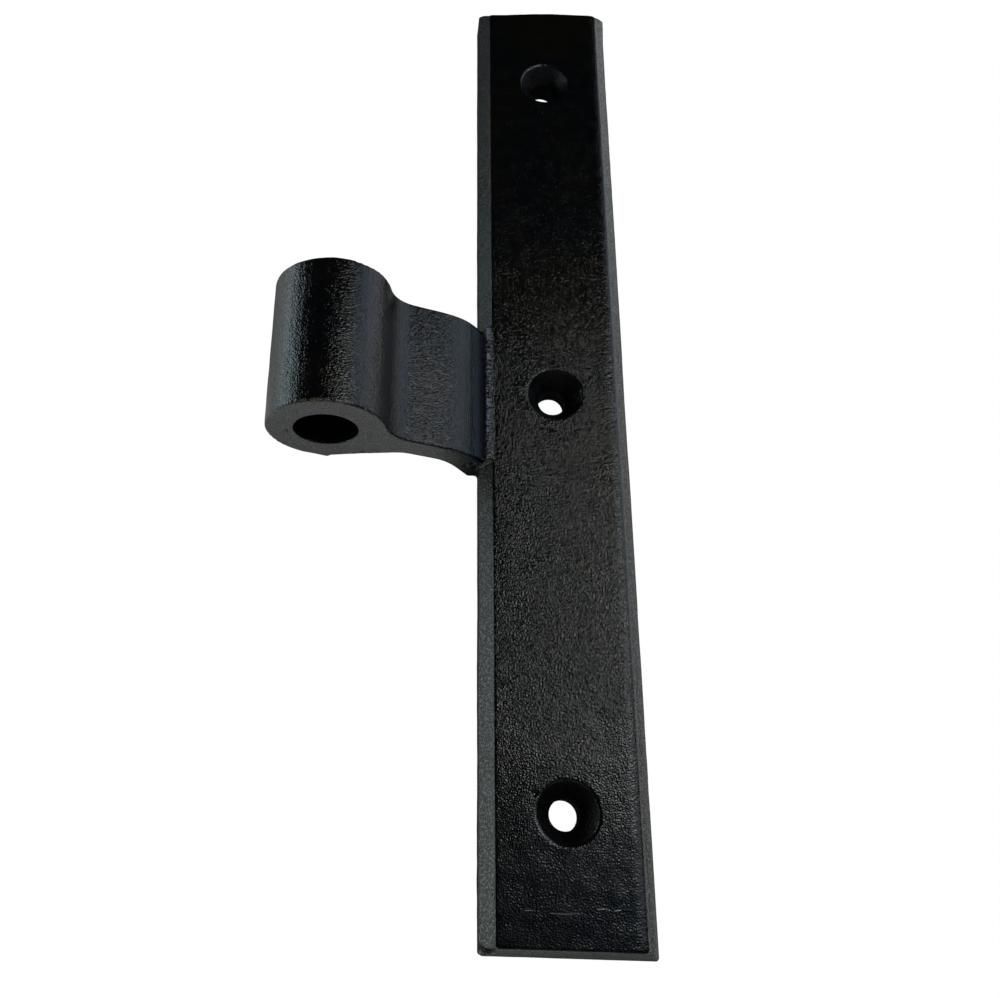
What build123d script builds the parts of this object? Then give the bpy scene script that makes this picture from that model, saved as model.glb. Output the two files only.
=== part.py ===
from build123d import *
from math import acos, degrees, sqrt
import os

# Sizes in millimetres.
# The back face of the plate lies on Z = 0 with +Z out of its front face.
# The plate runs along Y, the eye lies on the -X side, and the middle screw hole is on the Z axis.

# Plate
plate_length = 220.0
plate_width = 31.75
plate_thickness = 8.5
edge_height = 4.6  # upright wall below the bevel
side_bevel = 2.6  # width of the bevel along the long edges
end_bevel = 1.3  # width of the bevel along the ends
corner_radius = 0.7
rim_round = 0.4  # rounding where the bevel meets the front face
wall_round = 0.4  # rounding where the bevel meets the upright wall

# Three countersunk screw holes in a line
hole_inset = 24.3  # end holes, measured from the ends of the plate
hole_diameter = 5.9
countersink_diameter = 11.4
countersink_depth = 4.1
lip_width = 0.4  # eased lip around each countersink
lip_depth = 0.2

# Eye that turns on the pin
eye_reach = 31.4  # bore axis, outward from the long edge of the plate
eye_rise = 20.3  # bore axis above the back face
eye_diameter = 24.1
eye_height = 32.0
pin_diameter = 12.7
pin_clearance = 0.3
end_round = 0.4  # rounding around the ends of the eye and arm

# Gooseneck arm from the eye to the plate, placed by its middle line
arm_thickness = 5.9
crown_run = 15.2  # crown corner, inward from the bore axis
crown_rise = 2.45  # climb from the eye to the crown corner
crown_radius = 8.7
shoulder_run = 5.0  # shoulder corner, outward from the long edge
shoulder_height = 9.4  # shoulder corner above the back face
shoulder_radius = 12.6
root_height = 1.85  # middle line where it enters the long edge
valley_radius = 7.8  # hollow between the eye and the arm
root_round = 0.8  # hollow around the foot of the arm, where it grows out of the plate
keel_drop = 0.8  # keel under the eye, below the lowest line of the round
keel_run = 1.4  # length of the step from the keel up to the arm

# Derived places
long_edge = -plate_width / 2
hole_pitch = plate_length / 2 - hole_inset
bore_diameter = pin_diameter + pin_clearance
eye_radius = eye_diameter / 2
eye_axis = Vector(long_edge - eye_reach, eye_rise)
arm_start = eye_axis + Vector(0, arm_thickness / 2 - eye_radius)
crown = arm_start + Vector(crown_run, crown_rise)
shoulder = Vector(long_edge - shoulder_run, shoulder_height)
root = Vector(long_edge, root_height)


def plate_blank():
    # Upright walls carry a bevelled front, wider along the sides than at the ends.
    outline = RectangleRounded(plate_width, plate_length, corner_radius)
    front_width = plate_width - 2 * side_bevel
    front_length = plate_length - 2 * end_bevel
    front = RectangleRounded(front_width, front_length, corner_radius)
    walls = extrude(outline, edge_height)
    bevels = loft([Pos(0, 0, edge_height) * outline, Pos(0, 0, plate_thickness) * front])
    blank = walls + bevels
    rim = blank.edges().filter_by_position(Axis.Z, plate_thickness, plate_thickness)
    blank = fillet(rim, rim_round)
    brow = blank.edges().filter_by_position(Axis.Z, edge_height, edge_height)
    return fillet(brow, wall_round)


def screw_hole():
    lip_foot = plate_thickness - lip_depth
    section = Polyline(
        (0, 0),
        (hole_diameter / 2, 0),
        (hole_diameter / 2, plate_thickness - countersink_depth),
        (countersink_diameter / 2, lip_foot),
        (countersink_diameter / 2 + lip_width, plate_thickness),
        (0, plate_thickness),
        close=True,
    )
    return revolve(Plane.XZ * make_face(section), Axis.Z)


def arm_section():
    # A strap of even thickness follows the middle line and runs on into the plate.
    run_in = (root - shoulder).normalized() * arm_thickness / 2
    middle_line = FilletPolyline(
        arm_start, crown, shoulder, root + run_in, radius=(crown_radius, shoulder_radius)
    )
    strap = trace(middle_line, arm_thickness)
    below_back = Pos(long_edge, -arm_thickness) * Rectangle(4 * arm_thickness, 2 * arm_thickness)
    return strap - below_back


def valley_section():
    # The hollow is a circle that touches the eye and the straight run of the arm.
    along = (shoulder - crown).normalized()
    outward = Vector(-along.Y, along.X)
    half_arm = outward * arm_thickness / 2
    centre_rise = (crown - eye_axis).dot(outward) + arm_thickness / 2 + valley_radius
    centre_run = sqrt((eye_radius + valley_radius) ** 2 - centre_rise**2)
    centre = eye_axis + along * centre_run + outward * centre_rise
    mid_run = (crown + shoulder) / 2
    touch = centre - outward * valley_radius
    web = make_face(Polyline(eye_axis, centre, touch, mid_run + half_arm, mid_run, close=True))
    return web - Pos(centre) * Circle(valley_radius)


def keel_section():
    # The keel leaves the round at a tangent and steps up to the underside of the arm.
    tip = Vector(-keel_run / 4, -eye_radius - keel_drop)
    turn = degrees(acos(eye_radius / tip.length))
    touch = tip.normalized().rotate(Axis.Z, -turn) * eye_radius
    step_top = Vector(tip.X + keel_run, keel_drop / 2 - eye_radius)
    keel = make_face(Polyline((0, 0), touch, tip, step_top, close=True))
    return Pos(eye_axis) * keel


def eye_and_arm():
    barrel = Pos(eye_axis) * Circle(eye_radius)
    section = barrel + keel_section() + arm_section() + valley_section()
    blank = extrude(Plane.XZ * section, eye_height / 2, both=True)
    outline = blank.faces().filter_by(Axis.Y).edges()
    resting = outline.filter_by_position(Axis.Z, 0, 0)
    return fillet(outline - resting, end_round)


def pin_bore():
    return Pos(eye_axis.X, 0, eye_axis.Y) * Rot(90, 0, 0) * Cylinder(bore_diameter / 2, 2 * eye_height)


def hinge_leaf():
    plate = plate_blank()
    eye = eye_and_arm()
    leaf = plate + eye
    leaf = fillet(new_edges(plate, eye, combined=leaf), root_round)
    leaf -= pin_bore()
    for place in (-hole_pitch, 0, hole_pitch):
        leaf -= Pos(0, place, 0) * screw_hole()
    return leaf


os.makedirs("parts", exist_ok=True)
export_step(hinge_leaf(), "parts/hinge_leaf.step")
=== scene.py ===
import math

import bmesh
import bpy
import numpy as np
from mathutils import Matrix, Vector, noise


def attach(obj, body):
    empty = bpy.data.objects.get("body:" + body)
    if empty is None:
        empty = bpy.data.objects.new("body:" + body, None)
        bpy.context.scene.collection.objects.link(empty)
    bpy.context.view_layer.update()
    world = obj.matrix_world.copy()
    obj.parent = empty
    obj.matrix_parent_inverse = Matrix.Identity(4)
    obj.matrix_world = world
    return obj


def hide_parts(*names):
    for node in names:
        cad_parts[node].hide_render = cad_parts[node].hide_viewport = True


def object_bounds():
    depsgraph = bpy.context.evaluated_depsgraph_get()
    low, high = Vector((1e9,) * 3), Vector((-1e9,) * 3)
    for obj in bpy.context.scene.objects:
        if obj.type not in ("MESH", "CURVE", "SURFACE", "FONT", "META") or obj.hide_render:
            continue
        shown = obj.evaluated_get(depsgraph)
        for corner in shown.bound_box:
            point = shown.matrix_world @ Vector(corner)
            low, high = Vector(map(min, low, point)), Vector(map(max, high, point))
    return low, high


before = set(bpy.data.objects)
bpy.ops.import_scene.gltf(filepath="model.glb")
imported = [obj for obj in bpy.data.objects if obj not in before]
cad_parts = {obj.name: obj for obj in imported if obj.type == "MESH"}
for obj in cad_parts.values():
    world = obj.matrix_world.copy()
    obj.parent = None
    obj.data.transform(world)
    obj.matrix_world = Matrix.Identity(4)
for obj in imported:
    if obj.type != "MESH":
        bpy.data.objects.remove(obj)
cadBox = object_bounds()
scene = bpy.context.scene
mm = 0.001

# Sizes of the leaf that the rest is set against
plateSide = cadBox[1][0]  # half the width of the plate
plateEnd = cadBox[1][1]  # half its length
frontFace = 8.5 * mm  # height of its front face
wallTop = 4.6 * mm  # where the bevels start
eyeEnd = 16 * mm  # half the height of the eye, along the bore

# Cast skin of the leaf

castLeaf = {
    "weld": 1e-7,  # corners of the CAD mesh that lie closer than this are joined
    "gridDepth": 10,  # octree depth of the fine grid over the casting
    "gridScale": 0.8,
    "kept": 0.25,  # share of the grid that is kept, most of it on edges and hollows
    "softening": 0.3,  # how far each arris is eased
    "swell": 0.10 * mm,  # height of the broad unevenness left by the mould
    "swellSize": 13 * mm,
    "ripple": 0.045 * mm,  # height of the finer unevenness
    "rippleSize": 3.2 * mm,
}


def vectorsOf(items, what):
    values = np.empty(len(items) * 3, np.float32)
    items.foreach_get(what, values)
    return values.reshape(-1, 3)


def bakedMesh(mesh, kind, **settings):
    # Mesh as one modifier leaves it.
    blank = bpy.data.objects.new("castBlank", mesh)
    scene.collection.objects.link(blank)
    step = blank.modifiers.new("step", kind)
    for name, value in settings.items():
        setattr(step, name, value)
    ready = blank.evaluated_get(bpy.context.evaluated_depsgraph_get())
    baked = bpy.data.meshes.new_from_object(ready)
    bpy.data.objects.remove(blank)
    return baked


def gridOverCasting(node):
    mesh = node.data.copy()
    form = bmesh.new()
    form.from_mesh(mesh)
    bmesh.ops.remove_doubles(form, verts=form.verts, dist=castLeaf["weld"])
    form.to_mesh(mesh)
    form.free()
    return bakedMesh(
        mesh,
        "REMESH",
        mode="SHARP",
        octree_depth=castLeaf["gridDepth"],
        scale=castLeaf["gridScale"],
        use_remove_disconnected=False,
    )


def easeArrises(skin):
    form = bmesh.new()
    form.from_mesh(skin)
    bmesh.ops.smooth_vert(
        form,
        verts=form.verts,
        factor=castLeaf["softening"],
        use_axis_x=True,
        use_axis_y=True,
        use_axis_z=True,
    )
    form.to_mesh(skin)
    form.free()


def noiseAt(places, size, shift):
    cells = places / size + shift
    return np.array([noise.noise(Vector(cell)) for cell in cells.tolist()])


def fade(values, low, high):
    # Rises smoothly from 0 at low to 1 at high.
    share = np.clip((values - low) / (high - low), 0, 1)
    return share * share * (3 - 2 * share)


# Ragged burr on the rim of the plate, beside the foot of the arm
rimBurr = {
    "outside": -14.8 * mm,
    "outsideFlank": 0.12 * mm,  # half the width of the outer flank
    "outsideBends": 1.1 * mm,  # length of the bends in the outer line
    "inside": -12.7 * mm,
    "insideBends": 0.8 * mm,
    "insideLean": 0.5,  # leans the inner line outward, in wanders
    "wander": 0.4 * mm,  # how far both lines stray
    "halfLength": eyeEnd + 0.3 * mm,
    "endFade": 0.6 * mm,
    "crest": 0.38 * mm,  # height over the front face
    "teeth": 0.25 * mm,
    "teethSize": 0.55 * mm,
    "bevelReach": -15.6 * mm,  # the skin is moved only inside this line
    "heights": (wallTop + 0.1 * mm, frontFace + 0.7 * mm),  # and between these heights
}


def raiseBurr(places):
    x, y, z = places.T
    low, high = rimBurr["heights"]
    inReach = (np.abs(y) < rimBurr["halfLength"]) & (z > low) & (z < high)
    inReach &= (x > rimBurr["bevelReach"]) & (x < rimBurr["inside"])
    near = np.flatnonzero(inReach)
    spot = places[near]
    x, y, z = spot.T
    line = np.zeros_like(spot)
    line[:, 1] = y
    edge = rimBurr["outside"] + rimBurr["wander"] * noiseAt(line, rimBurr["outsideBends"], shift=3)
    burr = fade(x, edge - rimBurr["outsideFlank"], edge + rimBurr["outsideFlank"])
    bends = noiseAt(line, rimBurr["insideBends"], shift=11) - rimBurr["insideLean"]
    inside = rimBurr["inside"] + rimBurr["wander"] * bends
    share = np.clip((x - rimBurr["outside"]) / (inside - rimBurr["outside"]), 0, 1)
    teeth = rimBurr["teeth"] * noiseAt(spot, rimBurr["teethSize"], shift=31)
    top = frontFace + (rimBurr["crest"] + teeth) * (1 - share)
    ends = fade(-np.abs(y), -rimBurr["halfLength"], -rimBurr["halfLength"] + rimBurr["endFade"])
    places[near, 2] += (top - z) * burr * ends


# Wide rounding of the right rim of the front face
rightRim = {
    "start": 11.2 * mm,
    "run": 2.1 * mm,
    "drop": 0.42 * mm,
    "heights": (6 * mm, 8 * mm),  # sets in between these
}


def roundRightRim(places):
    over = np.clip((places[:, 0] - rightRim["start"]) / rightRim["run"], 0, 1)
    places[:, 2] -= rightRim["drop"] * over**2 * fade(places[:, 2], *rightRim["heights"])


# Far end of the plate, a little out of square, with the bevels riding up at the corners
farEnd = {
    "shortLeft": 0.9 * mm,
    "shortFrom": (plateEnd - 12 * mm, plateEnd - 1 * mm),  # along the plate
    "shortSides": (-4 * mm, 14 * mm),  # leftward from the middle
    "shortHeights": (5 * mm, 8 * mm),
    "rideUp": 1.0 * mm,
    "rideFrom": (plateEnd - 8 * mm, plateEnd - 1 * mm),
    "rideSides": (12.8 * mm, 13.6 * mm),  # either way from the middle
    "rideWall": (1.5 * mm, wallTop),  # fades out down the upright wall
}


def skewFarEnd(places):
    x, y, z = places.T
    bevelShare = np.clip((frontFace - z) / (frontFace - wallTop), 0, 1)
    bevelShare = bevelShare * fade(z, *farEnd["rideWall"])
    lift = bevelShare * fade(y, *farEnd["rideFrom"]) * fade(np.abs(x), *farEnd["rideSides"])
    pull = fade(y, *farEnd["shortFrom"]) * fade(-x, *farEnd["shortSides"])
    pull = pull * fade(z, *farEnd["shortHeights"])
    places[:, 1] -= farEnd["shortLeft"] * pull
    places[:, 2] += farEnd["rideUp"] * lift


# Small knocks: place, radius and depth
knocks = {
    "besideLowHole": ((-5.95 * mm, -82.5 * mm, frontFace), 0.45 * mm, 0.45 * mm),
    "onEyeEnd": ((-55.0 * mm, -eyeEnd, 19.1 * mm), 0.45 * mm, 0.5 * mm),
    "onArmEnd": ((-40.2 * mm, -eyeEnd, 10.4 * mm), 0.45 * mm, 0.5 * mm),
    "armFoot": ((-17.2 * mm, -eyeEnd, 6.3 * mm), 0.55 * mm, 0.5 * mm),
    "armFootLow": ((-18.6 * mm, -eyeEnd, 5.2 * mm), 0.5 * mm, 0.4 * mm),
    "armFootSide": ((-16.4 * mm, -eyeEnd, 4.4 * mm), 0.6 * mm, 0.45 * mm),
}


def knockDepth(places):
    depth = np.zeros(len(places))
    for place, radius, deep in knocks.values():
        away = np.linalg.norm(places - np.array(place), axis=1) / radius
        depth += deep * np.exp(-(away**2))
    return depth


# Rounded groove where the left bevel stops short of the low end
cornerGroove = {
    "path": [
        (-16.2 * mm, -108.15 * mm),
        (-15.4 * mm, -108.70 * mm),
        (-14.95 * mm, -108.94 * mm),
        (-14.34 * mm, -109.13 * mm),
        (-13.58 * mm, -108.92 * mm),
    ],
    "width": 0.34 * mm,
    "depth": 1.2 * mm,
    "heights": (3 * mm, 4.5 * mm),  # sets in between these
    "shade": 0.36 * mm,  # dark skin reaches this far from the path
    "shadeAbove": 3.5 * mm,
}


def awayFromGroove(places):
    away = np.full(len(places), np.inf)
    path = np.array(cornerGroove["path"])
    for start, end in zip(path[:-1], path[1:]):
        along = end - start
        reach = places[:, :2] - start
        share = np.clip(reach @ along / (along @ along), 0, 1)
        away = np.minimum(away, np.linalg.norm(reach - share[:, None] * along, axis=1))
    return away


def grooveDepth(places):
    front = fade(places[:, 2], *cornerGroove["heights"])
    away = awayFromGroove(places) / cornerGroove["width"]
    return cornerGroove["depth"] * np.exp(-(away**2)) * front


def roughenCasting(skin):
    places = vectorsOf(skin.vertices, "co")
    normals = vectorsOf(skin.vertex_normals, "vector")
    lift = castLeaf["swell"] * noiseAt(places, castLeaf["swellSize"], shift=0)
    lift += castLeaf["ripple"] * noiseAt(places, castLeaf["rippleSize"], shift=7)
    lift -= knockDepth(places)
    places[:, 2] -= grooveDepth(places)
    places += normals * lift[:, None].astype(np.float32)
    raiseBurr(places)
    roundRightRim(places)
    skewFarEnd(places)
    skin.vertices.foreach_set("co", places.ravel())
    skin.update()


def keepInBox(skin):
    places = np.clip(vectorsOf(skin.vertices, "co"), cadBox[0], cadBox[1])
    skin.vertices.foreach_set("co", places.astype(np.float32).ravel())
    skin.update()


# Faces that were ground smooth after casting
groundFaces = {
    "alongBore": (eyeEnd - 0.4 * mm, eyeEnd + 0.4 * mm),  # ends of the eye and arm
    "squareOn": 0.7,  # least share of their facing that lies along the bore
    "bevelInside": 13.4 * mm,  # side bevels lie beyond this, either way from the middle
    "endBevelInside": plateEnd - 1.2 * mm,
    "heights": (0.3 * mm, frontFace - 0.1 * mm),  # between the back and the front face
    "armReach": eyeEnd + 0.8 * mm,  # the arm covers the left side up to here
}


def groundMask(skin):
    middles = vectorsOf(skin.polygons, "center")
    facingAlong = np.abs(vectorsOf(skin.polygons, "normal")[:, 1])
    x, y, z = np.abs(middles).T
    left = middles[:, 0] < 0
    fromEnd, toEnd = groundFaces["alongBore"]
    eyeEnds = left & (x > groundFaces["bevelInside"]) & (y > fromEnd) & (y < toEnd)
    eyeEnds &= facingAlong > groundFaces["squareOn"]
    back, front = groundFaces["heights"]
    low = (z < front) & (z > back)
    byArm = left & (y < groundFaces["armReach"])
    sides = low & ~byArm & (x > groundFaces["bevelInside"])
    ends = low & (y > groundFaces["endBevelInside"])
    return eyeEnds | sides | ends


# Inside of the screw holes and the bore
holes = {
    "screwPlaces": (24.3 * mm - plateEnd, 0.0, plateEnd - 24.3 * mm),
    "screwRadius": 5.6 * mm,
    "boreAxis": (-plateSide - 31.4 * mm, 20.3 * mm),
    "boreRadius": 6.7 * mm,
    "boreEnd": eyeEnd - 0.6 * mm,
    "front": frontFace - 0.2 * mm,
}


def holeMask(skin):
    # Faces inside the holes, the bore and the corner groove, which keep a dull skin.
    middles = vectorsOf(skin.polygons, "center")
    x, y, z = middles.T
    inside = np.hypot(x - holes["boreAxis"][0], z - holes["boreAxis"][1]) < holes["boreRadius"]
    inside &= np.abs(y) < holes["boreEnd"]
    for place in holes["screwPlaces"]:
        inside |= (np.hypot(x, y - place) < holes["screwRadius"]) & (z < holes["front"])
    byGroove = awayFromGroove(middles) < cornerGroove["shade"]
    return inside | (byGroove & (z > cornerGroove["shadeAbove"]))


# Black coat


def newMaterial(name):
    material = bpy.data.materials.new(name)
    material.use_nodes = True
    tree = material.node_tree
    tree.nodes.clear()
    output = tree.nodes.new("ShaderNodeOutputMaterial")
    return material, tree, output


def newGroup(name, output, kind, inputs=()):
    tree = bpy.data.node_groups.new(name, "ShaderNodeTree")
    for socket in inputs:
        tree.interface.new_socket(socket, in_out="INPUT", socket_type="NodeSocketFloat")
    tree.interface.new_socket(output, in_out="OUTPUT", socket_type=kind)
    given = tree.nodes.new("NodeGroupInput").outputs
    result = tree.nodes.new("NodeGroupOutput").inputs[output]
    return tree, given, result


def useGroup(tree, group):
    node = tree.nodes.new("ShaderNodeGroup")
    node.node_tree = group
    return node


def feed(tree, socket, value):
    # Links another node's socket, or sets a plain value.
    if isinstance(value, bpy.types.NodeSocket):
        tree.links.new(value, socket)
    else:
        socket.default_value = value


def objectPlace(tree):
    return tree.nodes.new("ShaderNodeTexCoord").outputs["Object"]


def axesOf(tree, place):
    split = tree.nodes.new("ShaderNodeSeparateXYZ")
    tree.links.new(place, split.inputs[0])
    return split.outputs


def mathNode(tree, operation, *values):
    node = tree.nodes.new("ShaderNodeMath")
    node.operation = operation
    for socket, value in zip(node.inputs, values):
        feed(tree, socket, value)
    return node.outputs[0]


def product(tree, first, *others):
    for other in others:
        first = mathNode(tree, "MULTIPLY", first, other)
    return first


def rangeNode(tree, value, limits, atLow=0.0, atHigh=1.0):
    # Goes smoothly from atLow to atHigh between the two limits.
    node = tree.nodes.new("ShaderNodeMapRange")
    node.interpolation_type = "SMOOTHSTEP"
    node.inputs["From Min"].default_value = limits[0]
    node.inputs["From Max"].default_value = limits[1]
    node.inputs["To Min"].default_value = atLow
    node.inputs["To Max"].default_value = atHigh
    tree.links.new(value, node.inputs["Value"])
    return node.outputs["Result"]


def noiseNode(tree, place, fineness, detail=0.0):
    node = tree.nodes.new("ShaderNodeTexNoise")
    node.inputs["Detail"].default_value = detail
    tree.links.new(place, node.inputs["Vector"])
    feed(tree, node.inputs["Scale"], fineness)
    return node.outputs["Fac"]


def mixColours(tree, share, first, second):
    node = tree.nodes.new("ShaderNodeMix")
    node.data_type = "RGBA"
    tree.links.new(share, node.inputs["Factor"])
    feed(tree, node.inputs[6], first)  # sockets 6, 7 and 2 are those for colours
    feed(tree, node.inputs[7], second)
    return node.outputs[2]


# Pebbled skin left by the sand of the mould
castGrain = {
    "detail": 0.6,
    "lumpFineness": 0.31,  # of the wider lumps, as a share of the pebbles' own
    "lumpHeight": 0.3,
}


def buildGrainGroup():
    tree, given, result = newGroup("castGrain", "Height", "NodeSocketFloat", ["Fineness"])
    place = objectPlace(tree)
    pebbles = noiseNode(tree, place, given["Fineness"], castGrain["detail"])
    wide = mathNode(tree, "MULTIPLY", given["Fineness"], castGrain["lumpFineness"])
    lumps = noiseNode(tree, place, wide)
    height = mathNode(tree, "MULTIPLY_ADD", lumps, castGrain["lumpHeight"], pebbles)
    tree.links.new(height, result)
    return tree


# Black that wanders between a cool and a warm cast
coatTint = {
    "cool": (0.0018, 0.0024, 0.0031, 1),
    "warm": (0.0036, 0.0034, 0.0021, 1),
    "size": 21 * mm,
    "detail": 3.0,
    "edges": (0.4, 0.6),  # noise levels that are wholly cool and wholly warm
}


def buildTintGroup():
    tree, _, result = newGroup("coatTint", "Colour", "NodeSocketColor")
    cloud = noiseNode(tree, objectPlace(tree), 1 / coatTint["size"], coatTint["detail"])
    share = rangeNode(tree, cloud, coatTint["edges"])
    tree.links.new(mixColours(tree, share, coatTint["cool"], coatTint["warm"]), result)
    return tree


# Roughness that wanders between smooth and dull patches
dullPatches = {
    "detail": 2.0,
    "edges": (0.35, 0.65),  # noise levels that are wholly smooth and wholly dull
}


def buildDullGroup():
    inputs = ["Fineness", "Smooth", "Dull"]
    tree, given, result = newGroup("dullPatches", "Roughness", "NodeSocketFloat", inputs)
    cloud = noiseNode(tree, objectPlace(tree), given["Fineness"], dullPatches["detail"])
    share = rangeNode(tree, cloud, dullPatches["edges"])
    step = mathNode(tree, "SUBTRACT", given["Dull"], given["Smooth"])
    tree.links.new(mathNode(tree, "MULTIPLY_ADD", share, step, given["Smooth"]), result)
    return tree


grainGroup = buildGrainGroup()
dullGroup = buildDullGroup()
tintGroup = buildTintGroup()


# Broken scratch across the low end of the plate
scratch = {
    "colour": (0.34, 0.35, 0.36, 1),
    "width": 0.13 * mm,
    "endFade": 0.3 * mm,
    "gapSize": 0.8 * mm,
    "gapDetail": 1.0,
    "gapEdges": (0.30, 0.48),
    "above": frontFace - 0.5 * mm,  # only on the front face
    "strokes": [  # start, end and strength
        ((-8.9 * mm, -102.36 * mm), (-6.5 * mm, -102.3 * mm), 0.6),
        ((-4.0 * mm, -102.6 * mm), (-1.4 * mm, -102.8 * mm), 0.5),
        ((-1.4 * mm, -102.8 * mm), (1.5 * mm, -102.5 * mm), 0.45),
        ((4.45 * mm, -101.9 * mm), (5.9 * mm, -101.68 * mm), 2.0),
        ((5.9 * mm, -101.68 * mm), (7.45 * mm, -101.97 * mm), 2.5),
        ((7.45 * mm, -101.97 * mm), (8.9 * mm, -101.77 * mm), 2.0),
    ],
}


def strokeMask(tree, x, y, start, end, strength):
    length = math.dist(start, end)
    alongX = (end[0] - start[0]) / length
    alongY = (end[1] - start[1]) / length
    fromX = mathNode(tree, "SUBTRACT", x, start[0])
    fromY = mathNode(tree, "SUBTRACT", y, start[1])
    run = mathNode(tree, "MULTIPLY_ADD", fromX, alongX, product(tree, fromY, alongY))
    side = mathNode(tree, "MULTIPLY_ADD", fromX, -alongY, product(tree, fromY, alongX))
    away = mathNode(tree, "ABSOLUTE", side)
    line = rangeNode(tree, away, (0.0, scratch["width"]), strength, 0.0)
    past = mathNode(tree, "ABSOLUTE", mathNode(tree, "SUBTRACT", run, length / 2))
    ends = (length / 2 - scratch["endFade"], length / 2)
    return product(tree, line, rangeNode(tree, past, ends, 1.0, 0.0))


def scratchMask(tree, place):
    # Thin broken lines that follow the strokes on the front face.
    x, y, z = axesOf(tree, place)
    total = 0.0
    for start, end, strength in scratch["strokes"]:
        total = mathNode(tree, "ADD", strokeMask(tree, x, y, start, end, strength), total)
    gaps = noiseNode(tree, place, 1 / scratch["gapSize"], scratch["gapDetail"])
    broken = rangeNode(tree, gaps, scratch["gapEdges"])
    front = mathNode(tree, "GREATER_THAN", z, scratch["above"])
    return product(tree, total, broken, front)


# Tan where the coat is rubbed on the near rim of the eye
rubbedRim = {
    "colour": (0.11, 0.088, 0.055, 1),
    "rim": (0.25 * mm - eyeEnd, 0.9 * mm - eyeEnd),  # along the bore, from full to none
    "heights": (30.5 * mm, 31.7 * mm),
    "patchSize": 1.6 * mm,
    "patchDetail": 2.0,
    "patchEdges": (0.36, 0.56),
}


def rubbedMask(tree, place):
    _, y, z = axesOf(tree, place)
    nearRim = rangeNode(tree, y, rubbedRim["rim"], 1.0, 0.0)
    high = rangeNode(tree, z, rubbedRim["heights"])
    cloud = noiseNode(tree, place, 1 / rubbedRim["patchSize"], rubbedRim["patchDetail"])
    return product(tree, nearRim, high, rangeNode(tree, cloud, rubbedRim["patchEdges"]))


# Painted sheen: bluish lightening of the coat along the foot of the arm
creaseSheen = {
    "colour": (0.044, 0.058, 0.078, 1),
    "halfLength": eyeEnd - 0.8 * mm,
    "rise": (-17.8 * mm, -16.6 * mm),
    "fall": (-15.1 * mm, -14.7 * mm),
    "above": 5 * mm,
}


def armFootMask(tree, place, strip):
    # Strip beside the arm that rises and falls across the plate.
    x, y, z = axesOf(tree, place)
    rise = rangeNode(tree, x, strip["rise"])
    fall = rangeNode(tree, x, strip["fall"], 1.0, 0.0)
    along = mathNode(tree, "LESS_THAN", mathNode(tree, "ABSOLUTE", y), strip["halfLength"])
    front = mathNode(tree, "GREATER_THAN", z, strip["above"])
    return product(tree, rise, fall, along, front)


# Comb-like teeth on the crests of the burr, raised by bump, with a painted highlight: grey
# lightening on the teeth
burrComb = {
    "colour": (0.12, 0.14, 0.17, 1),
    "halfLength": eyeEnd + 0.2 * mm,
    "rise": (-15.0 * mm, -14.7 * mm),
    "fall": (-14.0 * mm, -13.4 * mm),
    "above": 5 * mm,
    "size": 0.50 * mm,
    "detail": 0.5,
    "stretch": (0.3, 1.0, 0.3),  # draws the teeth out across the burr
    "edges": (0.38, 0.62),
    "height": 1.25,  # in depths of the cast grain
}


def combAndGlintMask(tree, place):
    stretch = tree.nodes.new("ShaderNodeVectorMath")
    stretch.operation = "MULTIPLY"
    stretch.inputs[1].default_value = burrComb["stretch"]
    tree.links.new(place, stretch.inputs[0])
    cloud = noiseNode(tree, stretch.outputs[0], 1 / burrComb["size"], burrComb["detail"])
    teeth = rangeNode(tree, cloud, burrComb["edges"])
    return product(tree, teeth, armFootMask(tree, place, burrComb))


def grainHeight(tree, values):
    grain = useGroup(tree, grainGroup)
    grain.inputs["Fineness"].default_value = 1 / values["grainSize"]
    return grain.outputs["Height"]


def coatShader(tree, output, values, colour, height):
    shader = tree.nodes.new("ShaderNodeBsdfPrincipled")
    shader.inputs["Specular IOR Level"].default_value = values["specular"]
    tree.links.new(colour, shader.inputs["Base Color"])
    dull = useGroup(tree, dullGroup)
    dull.inputs["Fineness"].default_value = 1 / values["patchSize"]
    dull.inputs["Smooth"].default_value = values["roughness"][0]
    dull.inputs["Dull"].default_value = values["roughness"][1]
    tree.links.new(dull.outputs["Roughness"], shader.inputs["Roughness"])
    bump = tree.nodes.new("ShaderNodeBump")
    bump.inputs["Distance"].default_value = values["grainDepth"]
    tree.links.new(height, bump.inputs["Height"])
    tree.links.new(bump.outputs["Normal"], shader.inputs["Normal"])
    tree.links.new(shader.outputs["BSDF"], output.inputs["Surface"])


# Coat on the cast skin
castCoat = {
    "roughness": (0.16, 0.24),  # from smooth to dull patches
    "patchSize": 3.0 * mm,
    "grainSize": 0.34 * mm,
    "grainDepth": 0.145 * mm,
    "lowEndGrain": 0.48,  # share of the grain left at the low end of the plate
    "lowEnd": (-95 * mm, -58 * mm),
    "farEndGrain": 0.72,  # and at the far end
    "farEnd": (-20 * mm, 45 * mm),
    "specular": 0.5,
}


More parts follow.
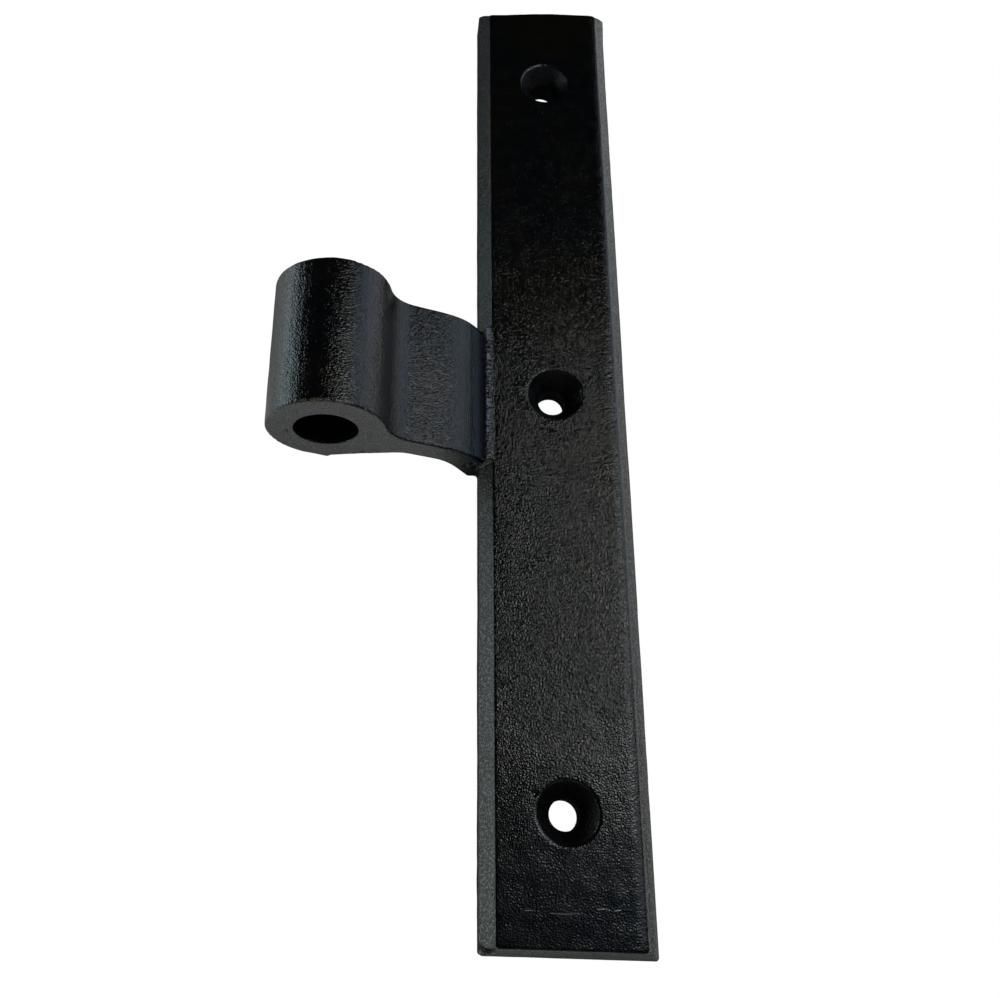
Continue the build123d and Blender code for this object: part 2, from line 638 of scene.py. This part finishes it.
def buildCastCoat():
    material, tree, output = newMaterial("castCoat")
    place = objectPlace(tree)
    teeth = combAndGlintMask(tree, place)
    # The rubbed rim and the scratch are marks on the coat; the strip at the foot of the arm and the
    # burr teeth are painted sheen and painted highlight
    marks = (
        (rubbedMask(tree, place), rubbedRim),
        (scratchMask(tree, place), scratch),
        (armFootMask(tree, place, creaseSheen), creaseSheen),
        (teeth, burrComb),
    )
    colour = useGroup(tree, tintGroup).outputs["Colour"]
    for mask, mark in marks:
        colour = mixColours(tree, mask, colour, mark["colour"])
    _, y, _ = axesOf(tree, place)
    lowEase = rangeNode(tree, y, castCoat["lowEnd"], castCoat["lowEndGrain"], 1.0)
    farEase = rangeNode(tree, y, castCoat["farEnd"], 1.0, castCoat["farEndGrain"])
    grain = product(tree, grainHeight(tree, castCoat), lowEase, farEase)
    height = mathNode(tree, "MULTIPLY_ADD", teeth, burrComb["height"], grain)
    coatShader(tree, output, castCoat, colour, height)
    return material


# Thin coat on the ground edges
groundCoat = {
    "roughness": (0.28, 0.38),
    "patchSize": 2.2 * mm,
    "grainSize": 0.38 * mm,
    "grainDepth": 0.20 * mm,
    "specular": 0.5,
    "speckle": (0.27, 0.312, 0.272, 1),  # grey showing through the thin coat, spread partly as painted reflection
    "speckleSize": 0.40 * mm,
    "speckleDetail": 1.0,
    "speckleEdges": (0.46, 0.70),
    "fewestSpeckles": 0.10,  # share of the speckles left at the least speckled corners
    "corners": (-1.3e-3, 1.7e-3),  # x times y, at the corners with fewest and most speckles
    "speckleRight": 0.5,  # share of the speckles anywhere on the right
    "right": (0.0, 10 * mm),
    "speckleOnWalls": 0.35,  # how much of that shows on the upright walls
    "wallFade": (wallTop - 1.1 * mm, wallTop + 0.2 * mm),
}


def speckleAndSheenMask(tree, place):
    # Grey speckle, partly wear of the thin coat and partly painted reflection: it thickens towards
    # the low left and far right corners, where the bevels mirror the bright floor.
    x, y, z = axesOf(tree, place)
    speckleSpread = rangeNode(tree, product(tree, x, y), groundCoat["corners"], groundCoat["fewestSpeckles"], 1.0)
    right = rangeNode(tree, x, groundCoat["right"], 0.0, groundCoat["speckleRight"])
    speckleSpread = mathNode(tree, "MAXIMUM", speckleSpread, right)
    walls = rangeNode(tree, z, groundCoat["wallFade"], groundCoat["speckleOnWalls"], 1.0)
    cloud = noiseNode(tree, place, 1 / groundCoat["speckleSize"], groundCoat["speckleDetail"])
    return product(tree, speckleSpread, walls, rangeNode(tree, cloud, groundCoat["speckleEdges"]))


def buildGroundCoat():
    material, tree, output = newMaterial("groundCoat")
    tint = useGroup(tree, tintGroup).outputs["Colour"]
    colour = mixColours(tree, speckleAndSheenMask(tree, objectPlace(tree)), tint, groundCoat["speckle"])
    coatShader(tree, output, groundCoat, colour, grainHeight(tree, groundCoat))
    return material


# Dull coat inside the holes
holeSkin = {
    "roughness": (0.32, 0.48),
    "patchSize": 1.5 * mm,
    "grainSize": 0.36 * mm,
    "grainDepth": 0.12 * mm,
    "specular": 0.28,
}


def buildHoleSkin():
    material, tree, output = newMaterial("holeSkin")
    tint = useGroup(tree, tintGroup).outputs["Colour"]
    coatShader(tree, output, holeSkin, tint, grainHeight(tree, holeSkin))
    return material


# Leaf


def buildLeaf():
    skin = gridOverCasting(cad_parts["hinge_leaf"])
    easeArrises(skin)
    roughenCasting(skin)
    skin = bakedMesh(skin, "DECIMATE", ratio=castLeaf["kept"])
    keepInBox(skin)
    skin.name = "castLeaf"
    skin.materials.clear()
    skin.shade_smooth()
    for coat in (buildCastCoat(), buildGroundCoat(), buildHoleSkin()):
        skin.materials.append(coat)
    ground = groundMask(skin)
    slots = ground.astype(np.int32)  # 0 cast, 1 ground, 2 hole
    slots[holeMask(skin)] = 2
    skin.polygons.foreach_set("material_index", slots)
    leaf = bpy.data.objects.new("castLeaf", skin)
    scene.collection.objects.link(leaf)
    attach(leaf, "root")
    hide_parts("hinge_leaf")
    print("cast leaf:", len(skin.polygons), "faces,", int(ground.sum()), "of them ground")


# Floor

studioFloor = {
    "size": 6.0,
    "drop": 0.2 * mm,
    "colour": (0.26, 0.26, 0.26, 1),
    "glow": 1.08,  # strength of the plain white
    "white": 0.93,  # share of plain white that the camera sees
    "mirrored": 0.46,  # share of plain white that reflections see
    "mirroredRight": 4.0,  # how it grows to the right, to the back and to both at once, per metre
    "mirroredBack": -2.7,
    "mirroredTwist": 90.0,
    "mirroredLeft": 0.46,  # more of it left of the eye
    "leftOfEye": (-95 * mm, -58 * mm),
    "mirroredMost": 0.95,
}

# Painted shadow on the floor, seen only in reflections: a dark line along the plate and a dark
# patch below the arm
floorContact = {
    "plateFade": (0.0, 20 * mm),
    "sideSqueeze": 1.7,  # how much narrower the line is beside the plate
    "armMiddle": -29 * mm,
    "armHalfReach": 13 * mm,
    "armHalfLength": 12 * mm,
    "armFade": (0.0, 8 * mm),
}


def beyondBox(tree, x, y, halfX, halfY, squeeze=1.0):
    # How far a place lies outside a rectangle about the middle.
    besides = mathNode(tree, "SUBTRACT", mathNode(tree, "ABSOLUTE", x), halfX)
    beyond = mathNode(tree, "SUBTRACT", mathNode(tree, "ABSOLUTE", y), halfY)
    return mathNode(tree, "MAXIMUM", product(tree, besides, squeeze), beyond)


def contactShade(tree, x, y):
    fromPlate = beyondBox(tree, x, y, plateSide, plateEnd, floorContact["sideSqueeze"])
    plateShade = rangeNode(tree, fromPlate, floorContact["plateFade"])
    armX = mathNode(tree, "SUBTRACT", x, floorContact["armMiddle"])
    armBox = (floorContact["armHalfReach"], floorContact["armHalfLength"])
    armShade = rangeNode(tree, beyondBox(tree, armX, y, *armBox), floorContact["armFade"])
    return product(tree, plateShade, armShade)


def mirroredShare(tree):
    # Share of plain white that reflections see at each place on the floor: an uneven glow that
    # paints the reflections on the leaf, less the painted shadow near the plate and arm.
    values = studioFloor
    x, y, _ = axesOf(tree, tree.nodes.new("ShaderNodeNewGeometry").outputs["Position"])
    twist = mathNode(tree, "MULTIPLY_ADD", x, values["mirroredTwist"], values["mirroredBack"])
    level = mathNode(tree, "MULTIPLY_ADD", x, values["mirroredRight"], values["mirrored"])
    share = mathNode(tree, "MULTIPLY_ADD", twist, y, level)
    leftOfEye = rangeNode(tree, x, values["leftOfEye"], values["mirroredLeft"], 0.0)
    share = mathNode(tree, "ADD", mathNode(tree, "MAXIMUM", share, 0.0), leftOfEye)
    share = rangeNode(tree, share, (0.0, values["mirroredMost"]), 0.0, values["mirroredMost"])
    return product(tree, share, contactShade(tree, x, y))


def mixShaders(tree, share, first, second, output):
    mix = tree.nodes.new("ShaderNodeMixShader")
    tree.links.new(share, mix.inputs["Fac"])
    tree.links.new(first.outputs[0], mix.inputs[1])
    tree.links.new(second.outputs[0], mix.inputs[2])
    tree.links.new(mix.outputs["Shader"], output.inputs["Surface"])


def buildPaleFloor():
    material, tree, output = newMaterial("paleFloor")
    matt = tree.nodes.new("ShaderNodeBsdfDiffuse")
    matt.inputs["Color"].default_value = studioFloor["colour"]
    glow = tree.nodes.new("ShaderNodeEmission")
    glow.inputs["Strength"].default_value = studioFloor["glow"]
    ray = tree.nodes.new("ShaderNodeLightPath").outputs
    share = product(tree, ray["Is Camera Ray"], studioFloor["white"])
    share = mathNode(tree, "MULTIPLY_ADD", ray["Is Transmission Ray"], studioFloor["white"], share)
    share = mathNode(tree, "MULTIPLY_ADD", ray["Is Glossy Ray"], mirroredShare(tree), share)
    mixShaders(tree, share, matt, glow, output)
    return material


def buildFloor():
    half = studioFloor["size"] / 2
    z = -studioFloor["drop"]
    mesh = bpy.data.meshes.new("studioFloor")
    corners = [(-half, -half, z), (half, -half, z), (half, half, z), (-half, half, z)]
    mesh.from_pydata(corners, [], [(0, 1, 2, 3)])
    mesh.materials.append(buildPaleFloor())
    floor = bpy.data.objects.new("studioFloor", mesh)
    scene.collection.objects.link(floor)
    print("floor ready")


# Studio light

softboxes = {
    "overhead": {
        "start": (0.14, 0.11, 0.60),
        "end": (0.41, 0.14, 0.50),
        "width": 0.11,
        "radiance": 7.5,
        "colour": (1.0, 1.0, 0.94),
    },
    "right": {
        "start": (0.42, 0.33, 0.39),
        "end": (0.78, 0.30, 0.10),
        "width": 0.50,
        "radiance": 1.25,
        "colour": (0.64, 0.80, 1.0),
    },
    "rightFront": {
        "start": (0.26, -0.03, 0.50),
        "end": (0.60, -0.03, 0.25),
        "width": 0.20,
        "radiance": 0.9,
        "colour": (0.82, 0.90, 1.0),
    },
    "front": {
        "start": (0.09, -0.04, 0.60),
        "end": (0.35, -0.04, 0.55),
        "width": 0.18,
        "radiance": 0.46,
        "colour": (0.55, 0.77, 1.0),
    },
    "leftFront": {
        "start": (-0.30, -0.20, 0.05),
        "end": (-0.30, 0.02, 0.05),
        "width": 0.10,
        "radiance": 1.5,
        "colour": (0.72, 0.93, 1.0),
    },
    "leftBack": {
        "start": (-0.30, 0.02, 0.06),
        "end": (-0.30, 0.22, 0.06),
        "width": 0.12,
        "radiance": 2.8,
        "colour": (0.76, 0.95, 1.0),
    },
    "fill": {
        "start": (-0.7, -0.2, 1.3),
        "end": (0.7, -0.2, 1.3),
        "width": 1.4,
        "radiance": 0.4,
        "colour": (1, 1, 1),
        "mirrored": False,
    },
}
studioWorld = {
    "dark": (0.006, 0.007, 0.008, 1),
    "white": (1, 1, 1, 1),
    "mirrored": 0.2,  # share of white that reflections see in front of the leaf
    "front": (-0.9, -0.35),  # directions that count as in front
}


def softbox(name, start, end, width, radiance, colour, mirrored=True):
    # A flat panel from start to end that faces the leaf.
    start, end = Vector(start), Vector(end)
    middle = (start + end) / 2
    along = (end - start).normalized()
    facing = (middle - along * middle.dot(along)).normalized()
    across = facing.cross(along)
    lamp = bpy.data.lights.new(name, "AREA")
    lamp.shape = "RECTANGLE"
    lamp.size = (end - start).length
    lamp.size_y = width
    lamp.energy = radiance * math.pi * lamp.size * lamp.size_y
    lamp.color = colour
    panel = bpy.data.objects.new(name, lamp)
    panel.matrix_world = Matrix(
        (
            (along.x, across.x, facing.x, middle.x),
            (along.y, across.y, facing.y, middle.y),
            (along.z, across.z, facing.z, middle.z),
            (0, 0, 0, 1),
        )
    )
    panel.visible_camera = False
    panel.visible_glossy = mirrored
    scene.collection.objects.link(panel)


def buildWorld():
    world = bpy.data.worlds.new("studioWorld")
    world.use_nodes = True
    tree = world.node_tree
    tree.nodes.clear()
    dark = tree.nodes.new("ShaderNodeBackground")
    dark.inputs["Color"].default_value = studioWorld["dark"]
    white = tree.nodes.new("ShaderNodeBackground")
    white.inputs["Color"].default_value = studioWorld["white"]
    ray = tree.nodes.new("ShaderNodeLightPath").outputs
    _, y, _ = axesOf(tree, tree.nodes.new("ShaderNodeTexCoord").outputs["Generated"])
    front = rangeNode(tree, y, studioWorld["front"], studioWorld["mirrored"], 0.0)
    share = mathNode(tree, "MAXIMUM", ray["Is Camera Ray"], ray["Is Transmission Ray"])
    share = mathNode(tree, "MULTIPLY_ADD", ray["Is Glossy Ray"], front, share)
    output = tree.nodes.new("ShaderNodeOutputWorld")
    mixShaders(tree, share, dark, white, output)
    scene.world = world


def buildLights():
    for side, values in softboxes.items():
        softbox(side + "Softbox", **values)
    buildWorld()
    print("lights ready")


# Camera

camera = {
    "place": (-32.907 * mm, -103.488 * mm, 200.164 * mm),
    "turn": (22.175, -0.178, 1.854),
    "sensor": 36,
    "focal": 1.016931,  # in widths of the picture
    "shift": 0.1,
    "nearest": 10 * mm,
}


def buildCamera():
    lens = bpy.data.cameras.new("camera")
    lens.sensor_width = camera["sensor"]
    lens.sensor_fit = "HORIZONTAL"
    lens.lens = camera["focal"] * lens.sensor_width
    lens.shift_x = camera["shift"]
    lens.clip_start = camera["nearest"]
    holder = bpy.data.objects.new("camera", lens)
    holder.location = camera["place"]
    holder.rotation_mode = "ZYX"
    holder.rotation_euler = [math.radians(angle) for angle in camera["turn"]]
    scene.collection.objects.link(holder)
    scene.camera = holder
    print("camera ready")


buildLeaf()
buildFloor()
buildLights()
buildCamera()
scene.view_settings.view_transform = "Standard"
